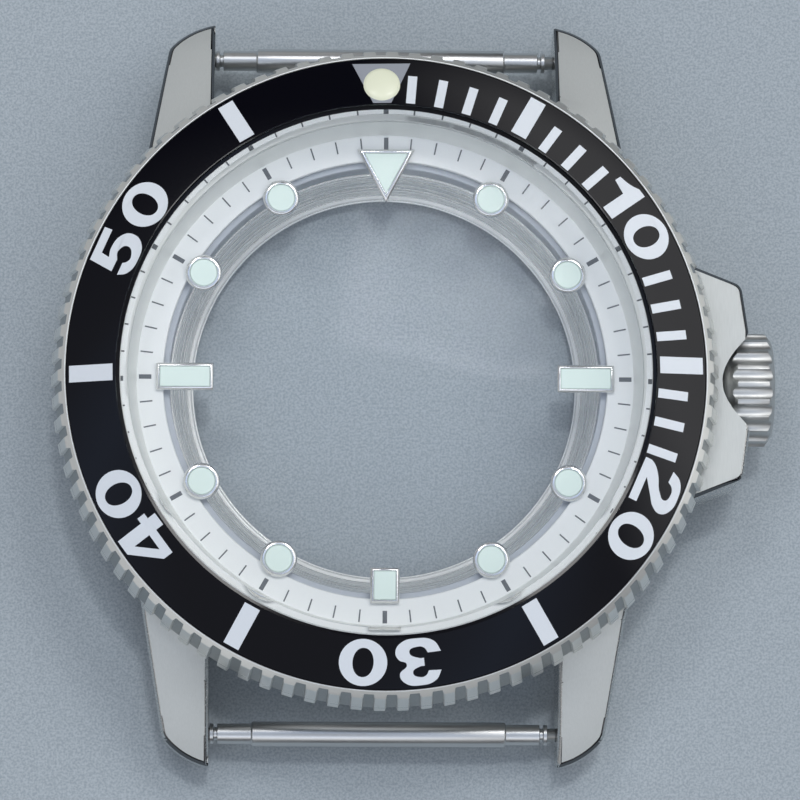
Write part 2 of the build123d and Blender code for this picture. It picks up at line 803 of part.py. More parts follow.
with BuildPart() as triangle_lume:
    with BuildSketch(Plane.XY.offset(lume_floor_z)):
        with BuildLine():
            Polyline(*triangle_points, close=True)
        make_face()
        offset(amount=-triangle_lume_wall - seat_gap, kind=Kind.INTERSECTION, mode=Mode.REPLACE)
    extrude(amount=marker_height - marker_floor - lume_sink)
triangle_lume.part.label = "triangle_lume"
export_step(triangle_lume.part, "parts/triangle_lume.step")

# Movement holder: the plain ring whose bore a movement drops into
with BuildPart() as movement_holder:
    revolve(
        turned_profile(
            (holder_bore_radius, 0),
            (holder_radius, 0),
            (holder_radius, holder_bottom_z),
            (holder_bore_radius + holder_bore_chamfer, holder_bottom_z),
            (holder_bore_radius, holder_bottom_z + holder_bore_chamfer),
        ),
        axis=Axis.Z,
    )
    # slot for the winding stem, open to the back
    with BuildSketch(Plane.XY.offset(holder_bottom_z - overrun)):
        with Locations(((holder_bore_radius + holder_radius) / 2, 0)):
            Rectangle(holder_radius - holder_bore_radius + overrun, stem_slot_width)
    extrude(amount=stem_slot_top_z - holder_bottom_z + overrun, mode=Mode.SUBTRACT)
movement_holder.part.label = "movement_holder"
export_step(movement_holder.part, "parts/movement_holder.step")

# Case back: screwed ring with a turned funnel, a glass seat and six tool notches
with BuildPart() as case_back:
    revolve(
        turned_profile(
            (back_funnel_top_radius, back_top_z),
            (back_thread_radius, back_top_z),
            (back_thread_radius, back_flange_top_z),
            (back_groove_radius - back_groove_half_width, back_flange_top_z),
            (back_groove_radius - back_groove_half_width, back_groove_floor_z),
            (back_groove_radius + back_groove_half_width, back_groove_floor_z),
            (back_groove_radius + back_groove_half_width, back_flange_top_z),
            (back_flange_radius, back_flange_top_z),
            (back_flange_radius, back_bottom_z + back_flange_chamfer),
            (back_flange_radius - back_flange_chamfer, back_bottom_z),
            (back_glass_seat_radius + back_rim_chamfer, back_bottom_z),
            (back_glass_seat_radius, back_bottom_z + back_rim_chamfer),
            (back_glass_seat_radius, back_glass_ledge_z),
            (window_radius, back_glass_ledge_z),
            (window_radius, window_edge_z),
            (back_funnel_foot_radius, back_funnel_foot_z),
        ),
        axis=Axis.Z,
    )
    # notches for the two-pin wrench, let in from the rim
    with BuildSketch(Plane.XY.offset(back_bottom_z - overrun)):
        with PolarLocations(back_flange_radius, back_notch_count):
            Rectangle(2 * back_notch_depth, back_notch_width)
    extrude(amount=back_notch_height + overrun, mode=Mode.SUBTRACT)
case_back.part.label = "case_back"
export_step(case_back.part, "parts/case_back.step")

# Back glass: the clear window in the case back
back_glass_top_z = back_glass_ledge_z - seat_gap
with BuildPart() as back_glass:
    with BuildSketch(Plane.XY.offset(back_glass_top_z - back_glass_thickness)):
        Circle(back_glass_radius)
    extrude(amount=back_glass_thickness)
    chamfer(edges().group_by(Axis.Z)[0], back_glass_chamfer)
back_glass.part.label = "back_glass"
export_step(back_glass.part, "parts/back_glass.step")

# Gasket between the back glass and its ring
with BuildPart() as back_glass_gasket:
    with BuildSketch(Plane.XY.offset(back_glass_top_z - back_glass_thickness)):
        Circle(back_glass_seat_radius - seat_gap)
        Circle(back_glass_radius + seat_gap, mode=Mode.SUBTRACT)
    extrude(amount=back_glass_thickness)
back_glass_gasket.part.label = "back_glass_gasket"
export_step(back_glass_gasket.part, "parts/back_glass_gasket.step")

# Case back gasket: a round-section ring in the groove of the flange
with BuildPart() as back_gasket:
    gasket_plane = Plane(
        origin=(back_groove_radius, 0, back_gasket_z),
        x_dir=(1, 0, 0),
        z_dir=(0, -1, 0),
    )
    with BuildSketch(gasket_plane):
        RegularPolygon(back_ring_radius, 6)
    revolve(axis=Axis.Z)
back_gasket.part.label = "back_gasket"
export_step(back_gasket.part, "parts/back_gasket.step")

# Crown tube: pressed into the case, with a wider threaded end for the crown
with BuildPart() as crown_tube:
    revolve(
        crown_profile(
            (tube_inner_x, tube_bore_radius),
            (tube_inner_x, tube_shank_radius),
            (recess_floor_x, tube_shank_radius),
            (recess_floor_x, tube_neck_radius),
            (tube_end_x, tube_neck_radius),
            (tube_end_x, tube_bore_radius),
        ),
        axis=crown_axis,
    )
crown_tube.part.label = "crown_tube"
export_step(crown_tube.part, "parts/crown_tube.step")

# Crown: fluted cap, bored from the inside for the tube, the gasket and the core's head
with BuildPart() as crown:
    with BuildSketch(Plane(origin=(0, 0, crown_axis_z), x_dir=(1, 0, 0), z_dir=(0, -1, 0))):
        with BuildLine():
            shell = Polyline(
                (crown_cavity_x, 0),
                (crown_cavity_x, crown_bore_radius),
                (crown_inner_x, crown_bore_radius),
                (crown_inner_x, crown_inner_radius),
                (crown_flute_start_x, crown_radius),
                (crown_flute_end_x, crown_radius),
                (crown_end_x, crown_face_radius),
            )
            face = TangentArc((crown_end_x + crown_dome, 0), shell @ 1, tangent=(0, 1))
            Line(face @ 0, shell @ 0)
        make_face()
    revolve(axis=crown_axis)
    with BuildSketch(crown_plane().offset(crown_inner_x - overrun)):
        with PolarLocations(
            crown_radius + crown_flute_offset, crown_flute_count, start_angle=crown_rest_turn
        ):
            Circle(crown_flute_radius)
    extrude(amount=crown_end_x - crown_inner_x + 2 * overrun, mode=Mode.SUBTRACT)
crown.part.label = "crown"
export_step(crown.part, "parts/crown.step")

# Crown gasket, pressed against the end of the tube when the crown is screwed down
crown_gasket_x = tube_end_x + seat_gap
with BuildPart() as crown_gasket:
    with BuildSketch(crown_plane().offset(crown_gasket_x)):
        Circle(crown_bore_radius - seat_gap)
        Circle(crown_gasket_bore, mode=Mode.SUBTRACT)
    extrude(amount=crown_gasket_thickness)
crown_gasket.part.label = "crown_gasket"
export_step(crown_gasket.part, "parts/crown_gasket.step")

# Crown washer, which keeps the gasket in and holds the core's head when the crown springs out
with BuildPart() as crown_washer:
    with BuildSketch(crown_plane().offset(crown_gasket_x + crown_gasket_thickness)):
        Circle(crown_bore_radius - seat_gap)
        Circle(core_radius + running_gap, mode=Mode.SUBTRACT)
    extrude(amount=washer_thickness)
crown_washer.part.label = "crown_washer"
export_step(crown_washer.part, "parts/crown_washer.step")

# Crown core: turns with the crown, takes the stem at its inner end and the spring at its outer
with BuildPart() as crown_core:
    revolve(
        crown_profile(
            (core_inner_x, core_stem_radius),
            (core_inner_x, core_radius),
            (core_head_x, core_radius),
            (core_head_x, core_head_radius),
            (core_end_x, core_head_radius),
            (core_end_x, core_pocket_radius),
            (core_end_x - core_pocket_depth, core_pocket_radius),
            (core_end_x - core_pocket_depth, 0),
            (core_inner_x + core_stem_depth, 0),
            (core_inner_x + core_stem_depth, core_stem_radius),
        ),
        axis=crown_axis,
    )
crown_core.part.label = "crown_core"
export_step(crown_core.part, "parts/crown_core.step")


# Crown spring: pushes the crown off the core; its coil is given as the sleeve that it fills
with BuildPart() as crown_spring:
    with BuildSketch(crown_plane().offset(core_end_x - core_pocket_depth)):
        Circle(crown_spring_radius)
        Circle(crown_spring_radius - crown_spring_wire, mode=Mode.SUBTRACT)
    extrude(amount=crown_cavity_x - core_end_x + core_pocket_depth)
crown_spring.part.label = "crown_spring"
export_step(crown_spring.part, "parts/crown_spring.step")


# Spring bars: a barrel, two telescoping tips and a spring, once at each end of the case
def bar_profile(side, *points):
    """The half section (distance along the bar, radius) of a piece on a spring bar's axis."""
    section_plane = Plane(
        origin=(bar_shift_x, side * bar_y, bar_z), x_dir=(1, 0, 0), z_dir=(0, -1, 0)
    )
    with BuildSketch(section_plane) as outline:
        with BuildLine():
            Polyline(*points, close=True)
        make_face()
    return outline.sketch


barrel_half = barrel_length / 2
barrel_bore_radius = tip_shaft_radius + running_gap / 2
tip_end = bar_span / 2
for side, name in ((1, "top"), (-1, "bottom")):
    bar_axis = Axis((bar_shift_x, side * bar_y, bar_z), (1, 0, 0))

    with BuildPart() as barrel:
        revolve(
            bar_profile(
                side,
                (-barrel_half, barrel_bore_radius),
                (-barrel_half, barrel_radius - barrel_round),
                (barrel_round - barrel_half, barrel_radius),
                (barrel_half - barrel_round, barrel_radius),
                (barrel_half, barrel_radius - barrel_round),
                (barrel_half, barrel_bore_radius),
            ),
            axis=bar_axis,
        )
    barrel.part.label = f"{name}_bar_barrel"
    export_step(barrel.part, f"parts/{name}_bar_barrel.step")

    for hand, hand_name in ((-1, "left"), (1, "right")):
        with BuildPart() as bar_tip:
            pin_end = tip_end + tip_pin_length
            neck_outer = tip_end - tip_flange_thickness
            neck_inner = neck_outer - tip_flange_groove
            revolve(
                bar_profile(
                    side,
                    (hand * (barrel_half - tip_inner_length), 0),
                    (hand * (barrel_half - tip_inner_length), tip_shaft_radius),
                    (hand * neck_inner, tip_shaft_radius),
                    (hand * neck_inner, tip_pin_radius),
                    (hand * neck_outer, tip_pin_radius),
                    (hand * neck_outer, tip_shaft_radius),
                    (hand * tip_end, tip_shaft_radius),
                    (hand * tip_end, tip_pin_radius),
                    (hand * pin_end, tip_pin_radius),
                    (hand * pin_end, 0),
                ),
                axis=bar_axis,
            )
        bar_tip.part.label = f"{name}_bar_{hand_name}_tip"
        export_step(bar_tip.part, f"parts/{name}_bar_{hand_name}_tip.step")

    # the spring's coil is given as the sleeve that it fills between the tips
    spring_half = barrel_half - tip_inner_length
    spring_plane = Plane(
        origin=(bar_shift_x, side * bar_y, bar_z), x_dir=(0, 1, 0), z_dir=(1, 0, 0)
    )
    with BuildPart() as bar_spring:
        with BuildSketch(spring_plane):
            Circle(bar_spring_radius)
            Circle(bar_spring_radius - bar_spring_wire, mode=Mode.SUBTRACT)
        extrude(amount=spring_half, both=True)
    bar_spring.part.label = f"{name}_bar_spring"
    export_step(bar_spring.part, f"parts/{name}_bar_spring.step")
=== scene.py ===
# %% [markdown]
# # An empty diver's watch case
#
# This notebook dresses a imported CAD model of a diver's watch case: brushed body, turning bezel
# with a coin edge, clear crystal, minute ring with luminous markers, screwed display back,
# crown and two spring bars. There is no movement in it, so one looks right through the case.
#
# The model comes in as a fixed frame. Its metal pieces are copied, cleaned and given soft
# edges; the bezel, its printing and the glass are made new. Everything is in metres, but the
# shapes are worked out in millimetres, as a watchmaker would give them, and scaled at the end.

import json
from math import atan2, cos, hypot, pi, radians, sin

import bmesh
import bpy
from mathutils import Matrix, Vector


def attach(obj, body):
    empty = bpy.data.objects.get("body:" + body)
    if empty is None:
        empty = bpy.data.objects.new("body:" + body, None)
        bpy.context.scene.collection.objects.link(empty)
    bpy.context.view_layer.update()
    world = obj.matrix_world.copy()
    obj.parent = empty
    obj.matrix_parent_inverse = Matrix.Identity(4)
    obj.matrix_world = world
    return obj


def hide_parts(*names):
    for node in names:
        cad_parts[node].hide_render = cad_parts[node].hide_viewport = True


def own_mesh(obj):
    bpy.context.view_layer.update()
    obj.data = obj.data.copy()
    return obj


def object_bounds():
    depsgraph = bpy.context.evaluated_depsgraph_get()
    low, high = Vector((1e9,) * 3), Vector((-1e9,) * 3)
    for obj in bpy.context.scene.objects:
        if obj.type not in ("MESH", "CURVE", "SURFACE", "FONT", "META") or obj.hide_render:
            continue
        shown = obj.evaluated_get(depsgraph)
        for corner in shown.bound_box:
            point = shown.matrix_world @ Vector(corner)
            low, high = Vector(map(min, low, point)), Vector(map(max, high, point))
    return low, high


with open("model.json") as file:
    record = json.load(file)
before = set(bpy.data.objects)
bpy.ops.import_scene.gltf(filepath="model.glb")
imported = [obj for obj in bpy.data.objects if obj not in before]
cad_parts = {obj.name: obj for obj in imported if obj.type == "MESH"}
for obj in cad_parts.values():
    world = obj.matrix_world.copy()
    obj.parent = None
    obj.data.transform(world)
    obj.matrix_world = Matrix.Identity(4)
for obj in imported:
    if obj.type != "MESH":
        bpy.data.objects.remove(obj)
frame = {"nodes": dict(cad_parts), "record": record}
nodes = frame["nodes"]
cad_box = [list(corner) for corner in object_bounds()]
scene = bpy.context.scene
MM = 0.001

# %% [markdown]
# ## The camera
#
# The photograph looks almost straight down, from a little below six o'clock. A long lens keeps
# the circles nearly round. The camera's distance, tilt and lens were worked out from the
# ellipses that the bezel, the crystal and the ring make in the picture, and the small shift
# puts the case where the photographer framed it.

# %% Camera
view_target = Vector((0, 0, 1.1)) * MM
view_distance = 245.66 * MM
view_tilt = radians(9.745)
view_swing = radians(7.254)
view_roll = radians(0.164)

camera_data = bpy.data.cameras.new("view_camera")
camera_data.sensor_width = 36
camera_data.lens = 183.36
camera_data.shift_x = 0.01874
camera_data.shift_y = -0.02277
camera_data.clip_start = 0.01
camera_data.clip_end = 10
camera = bpy.data.objects.new("view_camera", camera_data)
scene.collection.objects.link(camera)
scene.camera = camera

away = Vector(
    (
        -sin(view_tilt) * sin(view_swing),
        -sin(view_tilt) * cos(view_swing),
        cos(view_tilt),
    )
)
right = (-away).cross(Vector((0, 1, 0))).normalized()
up = right.cross(-away)
right, up = (
    cos(view_roll) * right + sin(view_roll) * up,
    cos(view_roll) * up - sin(view_roll) * right,
)
camera.matrix_world = Matrix.Translation(view_target + away * view_distance) @ Matrix(
    (right, up, away)
).transposed().to_4x4()
print("camera stands", round(view_distance / MM), "mm away")

# %% [markdown]
# ## Floor and light
#
# The case lies on a pale blue-grey sheet. Two soft boxes stand on the twelve o'clock side, one
# to the left and one to the right, which is why each marker throws two faint shadows towards
# six, and a smaller key lamp stands between them. Metal shows nothing but its surroundings. So
# the world is a gradient, bright overhead and dark near the horizon, with a few bright patches
# laid over it, which give the steep sides of the steel something to show.

# %% Node helpers
def new_material(name):
    """A material with its node tree and its Principled shader at hand."""
    material = bpy.data.materials.new(name)
    material.use_nodes = True
    tree = material.node_tree
    return material, tree, tree.nodes["Principled BSDF"]


def add_node(tree, kind, **settings):
    """A node of the given kind, with its properties and its input values set by name."""
    node = tree.nodes.new(kind)
    for name, value in settings.items():
        if hasattr(node, name):
            setattr(node, name, value)
        else:
            node.inputs[name.replace("_", " ")].default_value = value
    return node


def object_position(tree):
    """The socket that gives a point's place in the frame, in metres."""
    return add_node(tree, "ShaderNodeTexCoord").outputs["Object"]


print("node helpers ready")

# %% World
overhead_axis = (-0.15, -0.2, 0.968)
# how far a direction points along that axis, and the light that comes from there
sky_stops = (
    (0.1, (0.02, 0.022, 0.025)),
    (0.3, (0.05, 0.05, 0.06)),
    (0.66, (0.05, 0.05, 0.06)),
    (0.76, (0.3, 0.31, 0.35)),
    (0.85, (0.42, 0.44, 0.48)),
    (0.92, (0.64, 0.78, 1.06)),
    (0.98, (0.46, 0.48, 0.52)),
)

world = bpy.data.worlds.new("studio")
scene.world = world
world.use_nodes = True
sky = world.node_tree
background = sky.nodes["Background"]
direction = add_node(sky, "ShaderNodeTexCoord").outputs["Generated"]
split = add_node(sky, "ShaderNodeSeparateXYZ")
overhead = add_node(sky, "ShaderNodeVectorMath", operation="DOT_PRODUCT")
overhead.inputs[1].default_value = overhead_axis
ramp = add_node(sky, "ShaderNodeValToRGB")
sky.links.new(direction, split.inputs[0])
sky.links.new(direction, overhead.inputs[0])
sky.links.new(overhead.outputs["Value"], ramp.inputs[0])
stops = ramp.color_ramp.elements
first_stop, *middle_stops, last_stop = sky_stops
stops[0].position, stops[0].color = first_stop[0], (*first_stop[1], 1)
stops[1].position, stops[1].color = last_stop[0], (*last_stop[1], 1)
for place, light in middle_stops:
    stops.new(place).color = (*light, 1)
print("sky stops:", len(stops))


# %% Windows, lamp and wall in the sky
def sky_patch(below, heading, far, near, heights, level):
    """Adds light of a level round a heading, between heights, to the sky colour below."""
    facing = add_node(sky, "ShaderNodeVectorMath", operation="DOT_PRODUCT")
    facing.inputs[1].default_value = (sin(radians(heading)), cos(radians(heading)), 0)
    side_ramp = add_node(sky, "ShaderNodeValToRGB")
    height_ramp = add_node(sky, "ShaderNodeValToRGB")
    glow = add_node(sky, "ShaderNodeMath", operation="MULTIPLY")
    patch = add_node(sky, "ShaderNodeMixRGB", blend_type="ADD", Fac=1.0)
    sky.links.new(direction, facing.inputs[0])
    sky.links.new(facing.outputs["Value"], side_ramp.inputs[0])
    sky.links.new(split.outputs["Z"], height_ramp.inputs[0])
    side_ramp.color_ramp.elements[0].position = far
    side_ramp.color_ramp.elements[1].position = near
    ends = height_ramp.color_ramp.elements
    ends[0].position, ends[0].color = heights[0], (0, 0, 0, 1)
    ends[1].position, ends[1].color = heights[3], (0, 0, 0, 1)
    for height in heights[1:3]:
        ends.new(height).color = (level, level, level, 1)
    sky.links.new(side_ramp.outputs[0], glow.inputs[0])
    sky.links.new(height_ramp.outputs[0], glow.inputs[1])
    sky.links.new(below, patch.inputs["Color1"])
    sky.links.new(glow.outputs[0], patch.inputs["Color2"])
    return patch.outputs[0]


# two windows low on the right with a long lamp above them, a grey wall on the left, and some
# light from the photographer's side
window_heights = (0.2, 0.27, 0.46, 0.54)
lamp_heights = (0.68, 0.76, 0.88, 0.93)
wall_heights = (0.06, 0.14, 0.5, 0.62)
near_heights = (0.45, 0.55, 0.84, 0.9)
sky_color = ramp.outputs[0]
for heading, far, near, heights, level in (
    (80, 0.76, 0.86, window_heights, 1.5),
    (166, 0.94, 0.98, window_heights, 1.2),
    (62, 0.3, 0.5, lamp_heights, 2.3),
    (285, 0.0, 0.25, wall_heights, 0.42),
    (180, 0.2, 0.6, near_heights, 0.8),
):
    sky_color = sky_patch(sky_color, heading, far, near, heights, level)
sky.links.new(sky_color, background.inputs["Color"])
print("sky nodes:", len(sky.nodes))


# %% Lamps
def soft_box(name, tilt, heading, distance, width, height, power):
    """An area lamp that leans tilt degrees from overhead, towards a heading clockwise from 12."""
    lamp = bpy.data.lights.new(name, "AREA")
    lamp.shape = "RECTANGLE"
    lamp.size = width
    lamp.size_y = height
    lamp.energy = power
    place = bpy.data.objects.new(name, lamp)
    scene.collection.objects.link(place)
    lean, turn = radians(tilt), radians(heading)
    toward = Vector((sin(lean) * sin(turn), sin(lean) * cos(turn), cos(lean)))
    place.location = toward * distance
    place.rotation_euler = toward.to_track_quat("Z", "Y").to_euler()
    return place


lamp_distance = 0.9
box_side = 0.16
key_side = 0.06
soft_box("right_box", 27, 31, lamp_distance, box_side, box_side, 0.85)
soft_box("left_box", 27, -29, lamp_distance, box_side, box_side, 0.9)
key_lamp = soft_box("key_lamp", 12, 12, lamp_distance, key_side, key_side, 1.5)
key_lamp.visible_glossy = False  # its mirror image would lie in the middle of the crystal
print("lamps:", len(bpy.data.lights))

# %% Floor
floor_level = cad_box[0][2]
floor_size = 0.3
sheet_dark = (0.285, 0.328, 0.358)
sheet_light = (0.395, 0.442, 0.478)
floor_shape = bmesh.new()
bmesh.ops.create_grid(floor_shape, x_segments=1, y_segments=1, size=floor_size)
bmesh.ops.translate(floor_shape, vec=(0, 0, floor_level), verts=floor_shape.verts)
floor_mesh = bpy.data.meshes.new("floor")
floor_shape.to_mesh(floor_mesh)
floor_shape.free()
floor = bpy.data.objects.new("floor", floor_mesh)
scene.collection.objects.link(floor)

sheet, sheet_tree, sheet_shader = new_material("blue_grey_sheet")
fleck = add_node(sheet_tree, "ShaderNodeTexNoise", Scale=7000.0, Detail=2.0, Roughness=0.6)
tint = add_node(sheet_tree, "ShaderNodeValToRGB")
sheet_tree.links.new(object_position(sheet_tree), fleck.inputs["Vector"])
sheet_tree.links.new(fleck.outputs["Fac"], tint.inputs[0])
sheet_tree.links.new(tint.outputs[0], sheet_shader.inputs["Base Color"])
tint.color_ramp.elements[0].position = 0.35
tint.color_ramp.elements[0].color = (*sheet_dark, 1)
tint.color_ramp.elements[1].position = 0.65
tint.color_ramp.elements[1].color = (*sheet_light, 1)
sheet_shader.inputs["Roughness"].default_value = 0.75
sheet_shader.inputs["Specular IOR Level"].default_value = 0.2
floor_mesh.materials.append(sheet)
print("floor at", round(floor_level / MM, 2), "mm")

# %% [markdown]
# ## Finishes
#
# The steels of the real case differ in how they were worked: satin tops with a fine straight
# grain, smoother flanks, polished bevels, turned faces with rings round the axis, drawn bars
# and sprung wire. The polished bevels mirror a dark room, so theirs is a painted dark reflection.
# Grain and turning marks are each a node group, so every finish can use them at its own
# strength. They put out a height and a roughness; the shaders stay in the materials.

# %% Node group: fine grain
def group_socket(group, name, way, kind="NodeSocketFloat", value=None):
    """A named input or output of a node group."""
    socket = group.interface.new_socket(name, in_out=way, socket_type=kind)
    if value is not None:
        socket.default_value = value
    return socket


noise_low, noise_high = 0.3, 0.7  # nearly all of a noise lies between these

grain_group = bpy.data.node_groups.new("fine_grain", "ShaderNodeTree")
group_socket(grain_group, "Position", "INPUT", "NodeSocketVector")
group_socket(grain_group, "Stretch", "INPUT", "NodeSocketVector")
group_socket(grain_group, "Low", "INPUT", value=0.3)
group_socket(grain_group, "High", "INPUT", value=0.5)
group_socket(grain_group, "Roughness", "OUTPUT")
group_socket(grain_group, "Height", "OUTPUT")
grain_in = grain_group.nodes.new("NodeGroupInput")
grain_out = grain_group.nodes.new("NodeGroupOutput")
stretched = add_node(grain_group, "ShaderNodeVectorMath", operation="MULTIPLY")
streaks = add_node(grain_group, "ShaderNodeTexNoise", Scale=1.0, Detail=4.0, Roughness=0.6)
spread = add_node(grain_group, "ShaderNodeMapRange")
grain_group.links.new(grain_in.outputs["Position"], stretched.inputs[0])
grain_group.links.new(grain_in.outputs["Stretch"], stretched.inputs[1])
grain_group.links.new(stretched.outputs[0], streaks.inputs["Vector"])
grain_group.links.new(streaks.outputs["Fac"], spread.inputs["Value"])
spread.inputs["From Min"].default_value = noise_low
spread.inputs["From Max"].default_value = noise_high
grain_group.links.new(grain_in.outputs["Low"], spread.inputs["To Min"])
grain_group.links.new(grain_in.outputs["High"], spread.inputs["To Max"])
grain_group.links.new(spread.outputs["Result"], grain_out.inputs["Roughness"])
grain_group.links.new(streaks.outputs["Fac"], grain_out.inputs["Height"])
print("grain nodes:", len(grain_group.nodes))

# %% Node group: turning rings
ring_group = bpy.data.node_groups.new("turning_rings", "ShaderNodeTree")
group_socket(ring_group, "Position", "INPUT", "NodeSocketVector")
group_socket(ring_group, "Rings", "INPUT", value=9000.0)
group_socket(ring_group, "Low", "INPUT", value=0.2)
group_socket(ring_group, "High", "INPUT", value=0.4)
group_socket(ring_group, "Roughness", "OUTPUT")
group_socket(ring_group, "Height", "OUTPUT")
ring_in = ring_group.nodes.new("NodeGroupInput")
ring_out = ring_group.nodes.new("NodeGroupOutput")
ring_split = add_node(ring_group, "ShaderNodeSeparateXYZ")
ring_flat = add_node(ring_group, "ShaderNodeCombineXYZ")
ring_radius = add_node(ring_group, "ShaderNodeVectorMath", operation="LENGTH")
ring_sum = add_node(ring_group, "ShaderNodeMath", operation="ADD")
ring_scaled = add_node(ring_group, "ShaderNodeMath", operation="MULTIPLY")
ring_noise = add_node(
    ring_group, "ShaderNodeTexNoise", noise_dimensions="1D", Scale=1.0, Detail=5.0
)
ring_spread = add_node(ring_group, "ShaderNodeMapRange")
ring_group.links.new(ring_in.outputs["Position"], ring_split.inputs[0])
ring_group.links.new(ring_split.outputs["X"], ring_flat.inputs["X"])
ring_group.links.new(ring_split.outputs["Y"], ring_flat.inputs["Y"])
ring_group.links.new(ring_flat.outputs[0], ring_radius.inputs[0])
ring_group.links.new(ring_radius.outputs["Value"], ring_sum.inputs[0])
ring_group.links.new(ring_split.outputs["Z"], ring_sum.inputs[1])
ring_group.links.new(ring_sum.outputs[0], ring_scaled.inputs[0])
ring_group.links.new(ring_in.outputs["Rings"], ring_scaled.inputs[1])
ring_group.links.new(ring_scaled.outputs[0], ring_noise.inputs["W"])
ring_group.links.new(ring_noise.outputs["Fac"], ring_spread.inputs["Value"])
ring_spread.inputs["From Min"].default_value = noise_low
ring_spread.inputs["From Max"].default_value = noise_high
ring_group.links.new(ring_in.outputs["Low"], ring_spread.inputs["To Min"])
ring_group.links.new(ring_in.outputs["High"], ring_spread.inputs["To Max"])
ring_group.links.new(ring_spread.outputs["Result"], ring_out.inputs["Roughness"])
ring_group.links.new(ring_noise.outputs["Fac"], ring_out.inputs["Height"])
print("ring nodes:", len(ring_group.nodes))


# %% Material maker
even_grain = (6000, 6000, 6000)
straight_grain = (22000, 1200, 12000)
coat_roughness = 0.03


def finish(
    name, color, low, high, metallic=1.0, stretch=None, rings=None, bump=0.0, depth=0.01, coat=0.0
):
    """A procedural finish: its roughness and its relief vary with a grain or turning rings."""
    material, tree, shader = new_material(name)
    pattern = add_node(tree, "ShaderNodeGroup")
    pattern.node_tree = ring_group if rings else grain_group
    tree.links.new(object_position(tree), pattern.inputs["Position"])
    if rings:
        pattern.inputs["Rings"].default_value = rings
    else:
        pattern.inputs["Stretch"].default_value = stretch or even_grain
    pattern.inputs["Low"].default_value = low
    pattern.inputs["High"].default_value = high
    tree.links.new(pattern.outputs["Roughness"], shader.inputs["Roughness"])
    if bump:
        relief = add_node(tree, "ShaderNodeBump", Strength=bump)
        relief.inputs["Distance"].default_value = depth * MM
        tree.links.new(pattern.outputs["Height"], relief.inputs["Height"])
        tree.links.new(relief.outputs["Normal"], shader.inputs["Normal"])
    shader.inputs["Base Color"].default_value = (*color, 1)
    shader.inputs["Metallic"].default_value = metallic
    if coat:
        shader.inputs["Coat Weight"].default_value = coat
        shader.inputs["Coat Roughness"].default_value = coat_roughness
    return material


# %% Steels, silver, paste and seals
satin_steel = finish(
    "satin_steel", (0.67, 0.69, 0.675), 0.6, 0.72, stretch=straight_grain, bump=0.15
)
side_steel = finish("side_steel", (0.60, 0.61, 0.60), 0.2, 0.3, bump=0.1)
drawn_steel = finish("drawn_steel", (0.62, 0.63, 0.63), 0.28, 0.36)
# painted shade: the groove floors of the coin edge are coloured darker, where little light
# reaches
groove_painted_shade = finish("groove_painted_shade", (0.34, 0.36, 0.36), 0.36, 0.46, metallic=0.75)
# painted reflection: a dark metal colour standing in for the dark room that polished bevels
# mirror
painted_dark_reflection = finish("painted_dark_reflection", (0.14, 0.145, 0.15), 0.05, 0.1)
crown_steel = finish("crown_steel", (0.58, 0.59, 0.58), 0.36, 0.46, bump=0.1)
bezel_steel = finish(
    "bezel_steel", (0.76, 0.77, 0.74), 0.26, 0.36, metallic=0.8, rings=9000, bump=0.1
)
turned_steel = finish(
    "turned_steel", (0.84, 0.85, 0.84), 0.18, 0.4, metallic=0.75, rings=3200, bump=1.0, depth=0.16
)
holder_steel = finish("holder_steel", (0.42, 0.45, 0.49), 0.45, 0.55, metallic=0.35, bump=0.1)
spring_steel = finish("spring_steel", (0.5, 0.5, 0.5), 0.25, 0.4)
rehaut_silver = finish(
    "rehaut_silver", (0.86, 0.88, 0.86), 0.5, 0.6, metallic=0.4, rings=9000, bump=0.1
)
ring_silver = finish("ring_silver", (0.80, 0.82, 0.82), 0.6, 0.7, metallic=0.3, bump=0.1)
marker_metal = finish("marker_metal", (0.85, 0.85, 0.85), 0.1, 0.2)
lume_paste = finish("lume_paste", (0.70, 0.82, 0.77), 0.5, 0.7, metallic=0.0, bump=0.3)
pearl_paste = finish("pearl_paste", (0.76, 0.78, 0.60), 0.3, 0.45, metallic=0.0, coat=0.2)
insert_gloss = finish("insert_gloss", (0.002, 0.002, 0.004), 0.06, 0.1, metallic=0.0)
insert_gloss.node_tree.nodes["Principled BSDF"].inputs["Specular IOR Level"].default_value = 0.22
scale_white = finish("scale_white", (0.68, 0.72, 0.76), 0.42, 0.5, metallic=0.25)
zero_silver = finish("zero_silver", (0.30, 0.32, 0.36), 0.42, 0.5, metallic=0.4)
track_grey = finish("track_grey", (0.10, 0.11, 0.12), 0.4, 0.5, metallic=0.0)
seal_nylon = finish("seal_nylon", (0.72, 0.74, 0.72), 0.4, 0.55, metallic=0.0)
seal_rubber = finish("seal_rubber", (0.02, 0.02, 0.02), 0.5, 0.7, metallic=0.0, bump=0.2)
print("finishes:", len(bpy.data.materials))


# %% Glass
glass_ior = 1.52
most_haze = 0.012


